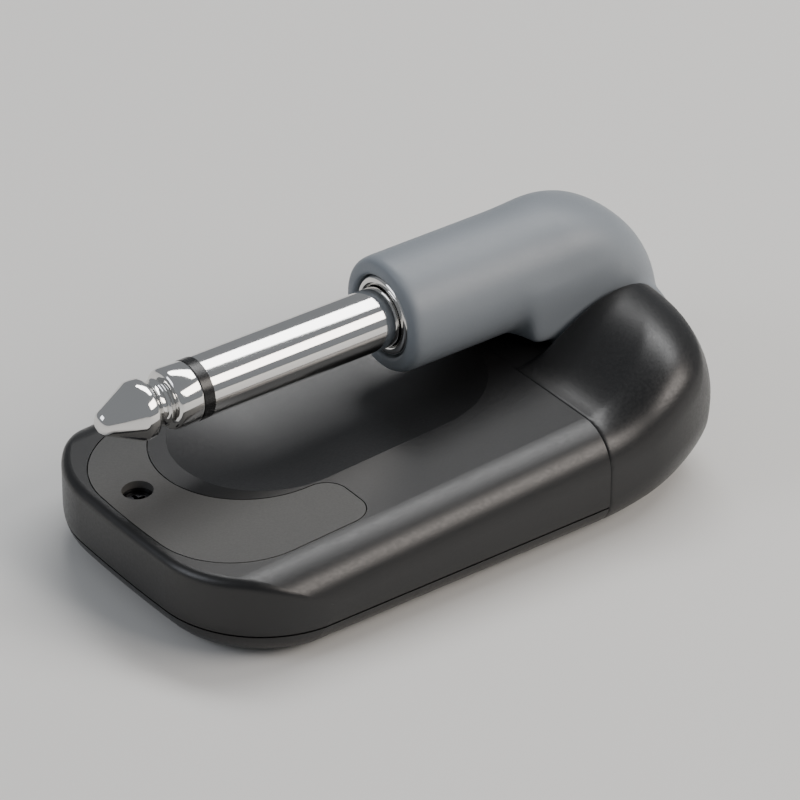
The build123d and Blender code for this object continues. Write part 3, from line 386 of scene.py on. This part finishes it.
# %% Grow a mesh from a table of sums
def grow(name, sizes, sums, low, high, cell, origin, finish_material):
    """A mesh of the surface where the last sum is 1, between two corners, moved to the origin."""
    tree = bpy.data.node_groups.new(name, "GeometryNodeTree")
    for size in sizes:
        tree.interface.new_socket(size, in_out="INPUT", socket_type="NodeSocketFloat")
    tree.interface.new_socket("Geometry", in_out="OUTPUT", socket_type="NodeSocketGeometry")
    given = add_node(tree, "NodeGroupInput")
    position = add_node(tree, "GeometryNodeInputPosition").outputs[0]
    place = add_node(tree, "ShaderNodeSeparateXYZ", {0: position})
    known = {"x": place.outputs[0], "y": place.outputs[1], "z": place.outputs[2]}
    known.update({size: given.outputs[size] for size in sizes})
    for result, operation, *terms in sums:
        links = {i: known[term] if isinstance(term, str) else term for i, term in enumerate(terms)}
        known[result] = add_node(tree, "ShaderNodeMath", links, operation=operation).outputs[0]
    counts = [max(2, round((b - a) / cell) + 1) for a, b in zip(low, high)]
    volume = add_node(tree, "GeometryNodeVolumeCube",
                      {"Density": known[sums[-1][0]], "Background": 0.0, "Min": low, "Max": high,
                       "Resolution X": counts[0], "Resolution Y": counts[1], "Resolution Z": counts[2]})
    skin = add_node(tree, "GeometryNodeVolumeToMesh", {"Volume": volume.outputs[0], "Threshold": 1.0})
    smooth = add_node(tree, "GeometryNodeSetShadeSmooth", {"Geometry": skin.outputs[0]})
    moved = add_node(tree, "GeometryNodeTransform",
                     {"Geometry": smooth.outputs[0], "Scale": (MM, MM, MM), "Translation": origin})
    real = add_node(tree, "GeometryNodeRealizeInstances", {0: moved.outputs[0]})
    coated = add_node(tree, "GeometryNodeSetMaterial",
                      {"Geometry": real.outputs[0], "Material": finish_material})
    add_node(tree, "NodeGroupOutput", {0: coated.outputs[0]})
    return mesh_from(tree, sizes)


# %% The arm's mesh
AXLE_CENTRE = Vector((0.0257, 0.0038, 0.0083))  # in metres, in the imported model's frame
ARM_LOW, ARM_HIGH = (-26.4, -7.5, -9.0), (9.0, 7.5, 17.8)
ARM_CELL = 0.2
arm_mesh = grow("arm_shape", ARM_SIZES, ARM_SUMS, ARM_LOW, ARM_HIGH, ARM_CELL, AXLE_CENTRE,
                FINISHES["arm_grey"])
put_in_place("arm_moulding", arm_mesh, "swivel_arm", "arm")

# %% [markdown]
# ## The hinge housing
# The thick end of the real body is a hollow moulding as round as a pebble. From above its corners are
# curves, the near one wide and the far one tighter, since the axle ends close behind it. From the side
# it is a knuckle round the axle, and a soft saddle leads down to the face. The arm's slot splits it into
# two cheeks. A bevel can't follow such a blend, so it gets a formula as the arm does. The outlines from
# the side and from above are two distances. A rounding between them, which grows from the seam to the
# knuckle, makes the solid, and an offset of it makes it hollow.

# %% The housing's formula as a table of sums
HOUSING_SIZES = {
    "Seam X": -13.6,
    "Half Width": 19.0,
    "Body Centre": -3.8,
    "Knuckle": 8.3,
    "Near Corner": 16.5,
    "Far Corner": 9.0,
    "Saddle": 5.2,
    "Rim": 4.4,
    "Rim Run": 14.0,
    "Near Growth": 3.0,
    "Far Growth": 0.8,
    "Face Slope": 0.0524,
    "Face Height": 4.23,
    "Wall": 1.4,
    "Slot Half": 6.9,
    "Slot Radius": 8.6,
    "Bush Radius": 3.65,
    "Slot Edge": 0.9,
    "Seam Edge": 0.4,
}
HOUSING_SUMS = [
    # from the side: the knuckle's circle and the sloping face, joined by the saddle, above the base
    ("a0", "MULTIPLY", "x", "x"), ("a1", "MULTIPLY_ADD", "z", "z", "a0"), ("round", "SQRT", "a1"),
    ("ball", "SUBTRACT", "round", "Knuckle"), ("a2", "MULTIPLY", "x", "Face Slope"),
    ("a3", "ADD", "a2", "Face Height"), ("over", "SUBTRACT", "z", "a3"),
    ("a4", "MAXIMUM", "over", "x"), ("a5", "SUBTRACT", "Saddle", "a4"), ("a6", "MAXIMUM", "a5", 0.0),
    ("a7", "SUBTRACT", "Saddle", "ball"), ("a8", "MAXIMUM", "a7", 0.0),
    ("a9", "MULTIPLY", "a6", "a6"), ("a10", "MULTIPLY_ADD", "a8", "a8", "a9"), ("a11", "SQRT", "a10"),
    ("a12", "SUBTRACT", "Saddle", "a11"), ("a13", "MINIMUM", "a4", "ball"),
    ("a14", "MAXIMUM", "a13", "a12"), ("a15", "MINIMUM", "a13", "a12"),
    ("a16", "MULTIPLY", "z", -1.0), ("a17", "SUBTRACT", "a16", "Knuckle"),
    ("profile", "MAXIMUM", "a15", "a17"),
    # from above: straight sides and round corners, of one size on the near side and one on the far side
    ("b0", "SUBTRACT", "y", "Body Centre"), ("far", "GREATER_THAN", "b0", 0.0),
    ("corner step", "SUBTRACT", "Far Corner", "Near Corner"),
    ("corner", "MULTIPLY_ADD", "corner step", "far", "Near Corner"),
    ("growth step", "SUBTRACT", "Far Growth", "Near Growth"),
    ("growth", "MULTIPLY_ADD", "growth step", "far", "Near Growth"), ("b1", "ABSOLUTE", "b0"),
    ("b2", "SUBTRACT", "Half Width", "corner"), ("b3", "SUBTRACT", "b1", "b2"),
    ("b4", "MAXIMUM", "b3", 0.0), ("b5", "SUBTRACT", "Knuckle", "corner"),
    ("b6", "SUBTRACT", "x", "b5"), ("b7", "MAXIMUM", "b6", 0.0), ("b8", "MULTIPLY", "b4", "b4"),
    ("b9", "MULTIPLY_ADD", "b7", "b7", "b8"), ("b10", "SQRT", "b9"),
    ("plan", "SUBTRACT", "b10", "corner"),
    # the rounding between the two, which grows towards the knuckle
    ("c0", "SUBTRACT", "x", "Seam X"), ("c1", "DIVIDE", "c0", "Rim Run"),
    ("c2", "MAXIMUM", "c1", 0.0), ("c3", "MINIMUM", "c2", 1.0), ("c4", "MULTIPLY", "c3", "c3"),
    ("c5", "MULTIPLY", "c3", -2.0), ("c6", "ADD", "c5", 3.0), ("c7", "MULTIPLY", "c4", "c6"),
    ("rim", "MULTIPLY_ADD", "c7", "growth", "Rim"), ("d0", "ADD", "profile", "rim"),
    ("d1", "MAXIMUM", "d0", 0.0), ("d2", "ADD", "plan", "rim"), ("d3", "MAXIMUM", "d2", 0.0),
    ("d4", "MULTIPLY", "d1", "d1"), ("d5", "MULTIPLY_ADD", "d3", "d3", "d4"), ("d6", "SQRT", "d5"),
    ("d7", "MAXIMUM", "d0", "d2"), ("d8", "MINIMUM", "d7", 0.0), ("d9", "ADD", "d6", "d8"),
    ("form", "SUBTRACT", "d9", "rim"),
    # the slot for the arm, open above, behind and below
    ("side", "ABSOLUTE", "y"), ("flank", "SUBTRACT", "side", "Slot Half"),
    ("e0", "SUBTRACT", "round", "Slot Radius"), ("e1", "MULTIPLY", "x", -1.0),
    ("e2", "MINIMUM", "e0", "e1"), ("e3", "SUBTRACT", "e1", "Slot Radius"),
    ("e4", "MAXIMUM", "e3", "z"), ("e5", "MINIMUM", "e2", "e4"), ("e6", "MULTIPLY", "over", -1.0),
    ("e7", "MINIMUM", "e5", "e6"), ("slot", "MAXIMUM", "e7", "flank"),
    ("f0", "MULTIPLY", "slot", -1.0), ("cheeks", "SMOOTH_MAX", "form", "f0", "Slot Edge"),
    # the hollow inside, less the walls round the slot
    ("g0", "ADD", "form", "Wall"), ("g1", "SUBTRACT", "Wall", "slot"),
    ("inside", "MAXIMUM", "g0", "g1"), ("g2", "MULTIPLY", "inside", -1.0),
    ("shell", "MAXIMUM", "cheeks", "g2"),
    # the bush holes in the slot's walls, and the face against the seam
    ("h0", "SUBTRACT", "round", "Bush Radius"), ("h1", "SUBTRACT", "flank", "Wall"),
    ("h2", "MAXIMUM", "h0", "h1"), ("h3", "MULTIPLY", "h2", -1.0), ("h4", "MAXIMUM", "shell", "h3"),
    ("h5", "MULTIPLY", "c0", -1.0), ("distance", "SMOOTH_MAX", "h4", "h5", "Seam Edge"),
    ("density", "SUBTRACT", 1.0, "distance"),
]
print("sizes and sums in the housing's formula:", len(HOUSING_SIZES), len(HOUSING_SUMS))

# %% The housing's mesh
HOUSING_LOW, HOUSING_HIGH = (-14.2, -23.5, -9.0), (9.0, 16.0, 9.2)
HOUSING_CELL = 0.24
housing_mesh = grow("housing_shape", HOUSING_SIZES, HOUSING_SUMS, HOUSING_LOW, HOUSING_HIGH,
                    HOUSING_CELL, AXLE_CENTRE, FINISHES["body_black"])
put_in_place("hinge_cheeks", housing_mesh, "hinge_housing", "housing")

# %% [markdown]
# ## The plug's tip
# The tip of a phone plug is turned from brass rod: a straight collar, a groove for the jack's spring with
# a small bead left in it, a wide shoulder and a cone to a blunt nose. A thin core runs back from it
# through the insulating ring. A lathe's work is a profile turned about an axis, so the mesh is made the
# same way, ring by ring, which gives clean loops where the reflections bend.

# %% Turn a profile about the plug's axis
PLUG_AXIS = Vector((0.0, 0.0038, 0.01885))  # runs along x through this point, in metres
STEPS_AROUND = 96
SHARP_ANGLE = math.radians(34)


def turned(name, profile):
    """A closed mesh turned about the plug's axis from (x, radius) pairs in millimetres, nose first.

    A profile that starts off the axis is a ring's section, and is joined back to its start."""
    shape = bmesh.new()
    rings = []
    for x, radius in profile:
        steps = STEPS_AROUND if radius > 0 else 1
        ring = []
        for i in range(steps):
            angle = 2 * math.pi * i / steps
            ring.append(shape.verts.new((x * MM, PLUG_AXIS.y + radius * MM * math.cos(angle),
                                         PLUG_AXIS.z + radius * MM * math.sin(angle))))
        rings.append(ring)
    following = rings[1:] if profile[0][1] == 0 else rings[1:] + rings[:1]
    for a, b in zip(rings, following):
        for i in range(STEPS_AROUND):
            j = (i + 1) % STEPS_AROUND
            corners = [a[i % len(a)], a[j % len(a)], b[j % len(b)], b[i % len(b)]]
            shape.faces.new(list(dict.fromkeys(corners)))
    bmesh.ops.recalc_face_normals(shape, faces=shape.faces)
    mesh = bpy.data.meshes.new(name)
    shape.to_mesh(mesh)
    shape.free()
    mesh.shade_smooth()
    mesh.set_sharp_from_angle(angle=SHARP_ANGLE)
    return mesh


# %% The tip's profile
TIP_LOW, TIP_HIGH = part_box("plug_tip")
NOSE = TIP_LOW[0] / MM
ROD_END = TIP_HIGH[0] / MM
RING_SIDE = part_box("plug_ring")[0][0] / MM
CORE_RADIUS = 1.2
TIP_PROFILE = [(0.0, 0.0), (0.02, 0.45), (0.12, 0.8), (0.35, 1.12), (0.65, 1.32), (0.95, 1.45),
               (3.9, 2.86), (4.08, 2.98), (4.3, 3.06), (4.55, 3.1), (5.2, 3.1), (5.4, 3.06),
               (5.55, 2.95), (5.64, 2.8), (6.1, 2.32), (6.3, 2.18), (6.5, 2.14), (6.75, 2.16),
               (6.85, 2.3), (6.95, 2.42), (7.1, 2.48), (7.25, 2.42), (7.35, 2.3), (7.45, 2.2),
               (7.6, 2.2), (7.66, 2.5), (7.72, 2.82), (7.85, 3.02), (8.0, 3.12), (8.2, 3.175),
               (10.35, 3.175), (10.5, 3.15), (10.6, 3.08)]
tip_and_core = [(NOSE + x, radius) for x, radius in TIP_PROFILE]
tip_and_core += [(RING_SIDE, CORE_RADIUS), (ROD_END, CORE_RADIUS), (ROD_END, 0.0)]
put_in_place("plug_point", turned("plug_point", tip_and_core), "plug_tip", "arm")

# %% [markdown]
# ## The collar in the barrel's mouth
# A nickel-plated collar closes the gap between the sleeve and the plastic. Its front edges are rolled, so
# it shows as a thin bright ring with a dark line round it. It is turned from its section as the tip is.

# %% The collar
COLLAR_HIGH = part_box("plug_collar")[1][0] / MM
COLLAR_SECTION = [(0.0, 3.2), (-1.7, 3.2), (-1.85, 3.28), (-1.95, 3.45), (-1.98, 3.7), (-1.95, 3.95),
                  (-1.85, 4.12), (-1.7, 4.22), (-1.5, 4.27), (0.0, 4.3)]
collar_section = [(COLLAR_HIGH + x, radius) for x, radius in COLLAR_SECTION]
put_in_place("plug_ferrule", turned("plug_ferrule", collar_section), "plug_collar", "arm")

# %% [markdown]
# ## Contacts in the charging port
# A charging socket's tongue carries a row of thin gold-coloured contacts on each face. One small contact
# is repeated along a line by Geometry Nodes, once for each face, and the tree ends by turning the copies
# into real geometry.

# %% A tree that lays blocks in a row
def contact_row(name, count, start, step, size, material):
    """A mesh of small blocks in a row: the first is centred at start, and the next a step further."""
    tree = bpy.data.node_groups.new(name, "GeometryNodeTree")
    for label, socket_type in (("Count", "NodeSocketInt"), ("Start", "NodeSocketVector"),
                               ("Step", "NodeSocketVector"), ("Size", "NodeSocketVector")):
        tree.interface.new_socket(label, in_out="INPUT", socket_type=socket_type)
    tree.interface.new_socket("Geometry", in_out="OUTPUT", socket_type="NodeSocketGeometry")
    given = add_node(tree, "NodeGroupInput").outputs
    line = add_node(tree, "GeometryNodeMeshLine",
                    {"Count": given["Count"], "Start Location": given["Start"], "Offset": given["Step"]})
    finger = add_node(tree, "GeometryNodeMeshCube", {"Size": given["Size"]})
    copies = add_node(tree, "GeometryNodeInstanceOnPoints",
                      {"Points": line.outputs[0], "Instance": finger.outputs[0]})
    real = add_node(tree, "GeometryNodeRealizeInstances", {0: copies.outputs[0]})
    coated = add_node(tree, "GeometryNodeSetMaterial",
                      {"Geometry": real.outputs[0], "Material": material})
    add_node(tree, "NodeGroupOutput", {0: coated.outputs[0]})
    return mesh_from(tree, {"Count": count, "Start": start, "Step": step, "Size": size})


# %% Contacts on both faces of the tongue
TONGUE_LOW, TONGUE_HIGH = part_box("usb_tongue")
CONTACTS = 12
CONTACT_SIZE = (0.28 * MM, 4.2 * MM, 0.08 * MM)
CONTACT_STEP = (0.5 * MM, 0.0, 0.0)
CONTACT_SETBACK = 2.6 * MM
FIRST_X = (TONGUE_LOW[0] + TONGUE_HIGH[0]) / 2 - CONTACT_STEP[0] * (CONTACTS - 1) / 2
FIRST_Y = TONGUE_HIGH[1] - CONTACT_SETBACK
for face, height in (("upper", TONGUE_HIGH[2]), ("lower", TONGUE_LOW[2])):
    row_name = "port_contacts_" + face
    row_mesh = contact_row(row_name, CONTACTS, (FIRST_X, FIRST_Y, height), CONTACT_STEP, CONTACT_SIZE,
                           FINISHES["contact_brass"])
    row = bpy.data.objects.new(row_name, row_mesh)
    bpy.context.scene.collection.objects.link(row)
    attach(row, "housing")
    print(row_name, "faces:", len(row_mesh.polygons))

# %% [markdown]
# ## The floor and the air round it
# A product is shown on a wide sheet of pale matte paper, which gives a soft shadow and no reflection. A
# large flat mesh does the same. It lies a hair below the object, because two surfaces at one height
# flicker. A dim, slightly blue world stands for the light that a room throws back.

# %% Floor and air
FLOOR_DROP = 0.15 * MM
FLOOR_SIZE = 3.0
floor_shape = bmesh.new()
bmesh.ops.create_grid(floor_shape, x_segments=2, y_segments=2, size=FLOOR_SIZE)
bmesh.ops.translate(floor_shape, verts=floor_shape.verts, vec=(0.0, 0.0, -FLOOR_DROP))
floor_mesh = bpy.data.meshes.new("floor")
floor_shape.to_mesh(floor_mesh)
floor_shape.free()
floor = bpy.data.objects.new("floor", floor_mesh)
bpy.context.scene.collection.objects.link(floor)
floor_mesh.materials.append(finish("matte_paper_sweep", "#d9d8d5", "#dddcd9", 0.75, 0.03, 4.0, 0.01,
                                   cloud_mm=400.0))

world = bpy.data.worlds.new("studio_air")
world.use_nodes = True
world.node_tree.nodes.clear()
air = add_node(world.node_tree, "ShaderNodeBackground", {"Color": linear("#c9cdd2"), "Strength": 0.45})
add_node(world.node_tree, "ShaderNodeOutputWorld", {"Surface": air.outputs[0]})
bpy.context.scene.world = world
print("floor", FLOOR_SIZE, "m wide, under a world of strength", air.inputs["Strength"].default_value)

# %% [markdown]
# ## The lights
# Soft boxes are large so that their mirror images are long clean bands on round metal and wide soft ones
# on satin plastic. One stands at the right, in front, where the body's rounded rim mirrors it. One hangs
# above and behind, and draws the bright bands along the plug. A weak one at the left fills the shadows.

# %% Lights
TARGET = Vector((0.0, 0.0, 0.011))


def soft_light(name, direction, distance, width, height, watts, hex_colour="#ffffff"):
    """A rectangular area light at a distance from the object along a direction, facing it."""
    lamp = bpy.data.lights.new(name, "AREA")
    lamp.shape = "RECTANGLE"
    lamp.size = width
    lamp.size_y = height
    lamp.energy = watts
    lamp.color = linear(hex_colour)[:3]
    holder = bpy.data.objects.new(name, lamp)
    bpy.context.scene.collection.objects.link(holder)
    holder.location = TARGET + Vector(direction).normalized() * distance
    holder.rotation_euler = (TARGET - holder.location).to_track_quat("-Z", "Y").to_euler()
    print(name, "at", [round(value, 2) for value in holder.location], "with", watts, "watts")


soft_light("front_right_box", (0.52, -0.66, 0.55), 0.75, 0.55, 0.30, 4.0, "#fff6ee")
soft_light("back_top_box", (0.46, 0.22, 0.86), 0.70, 0.70, 0.20, 3.6)
soft_light("left_fill", (-0.90, 0.30, 0.60), 0.90, 0.45, 0.45, 2.0, "#f2f6ff")

# %% [markdown]
# ## The camera
# A long lens from half a metre hardly narrows the shapes with distance, as in a catalogue. Two angles
# and a distance place the camera, since they are easier to judge than coordinates.

# %% Camera
CAMERA_AZIMUTH = math.radians(-36.5)
CAMERA_ELEVATION = math.radians(32.5)
CAMERA_DISTANCE = 0.525
CAMERA_LENS_MM = 235.0
toward_camera = Vector((math.sin(CAMERA_AZIMUTH) * math.cos(CAMERA_ELEVATION),
                        -math.cos(CAMERA_AZIMUTH) * math.cos(CAMERA_ELEVATION),
                        math.sin(CAMERA_ELEVATION)))
camera_data = bpy.data.cameras.new("camera")
camera_data.lens = CAMERA_LENS_MM
camera_data.sensor_width = 36.0
camera = bpy.data.objects.new("camera", camera_data)
bpy.context.scene.collection.objects.link(camera)
camera.location = TARGET + toward_camera * CAMERA_DISTANCE
camera.rotation_euler = (TARGET - camera.location).to_track_quat("-Z", "Y").to_euler()
bpy.context.scene.camera = camera
print("camera at", [round(v, 4) for v in camera.location])
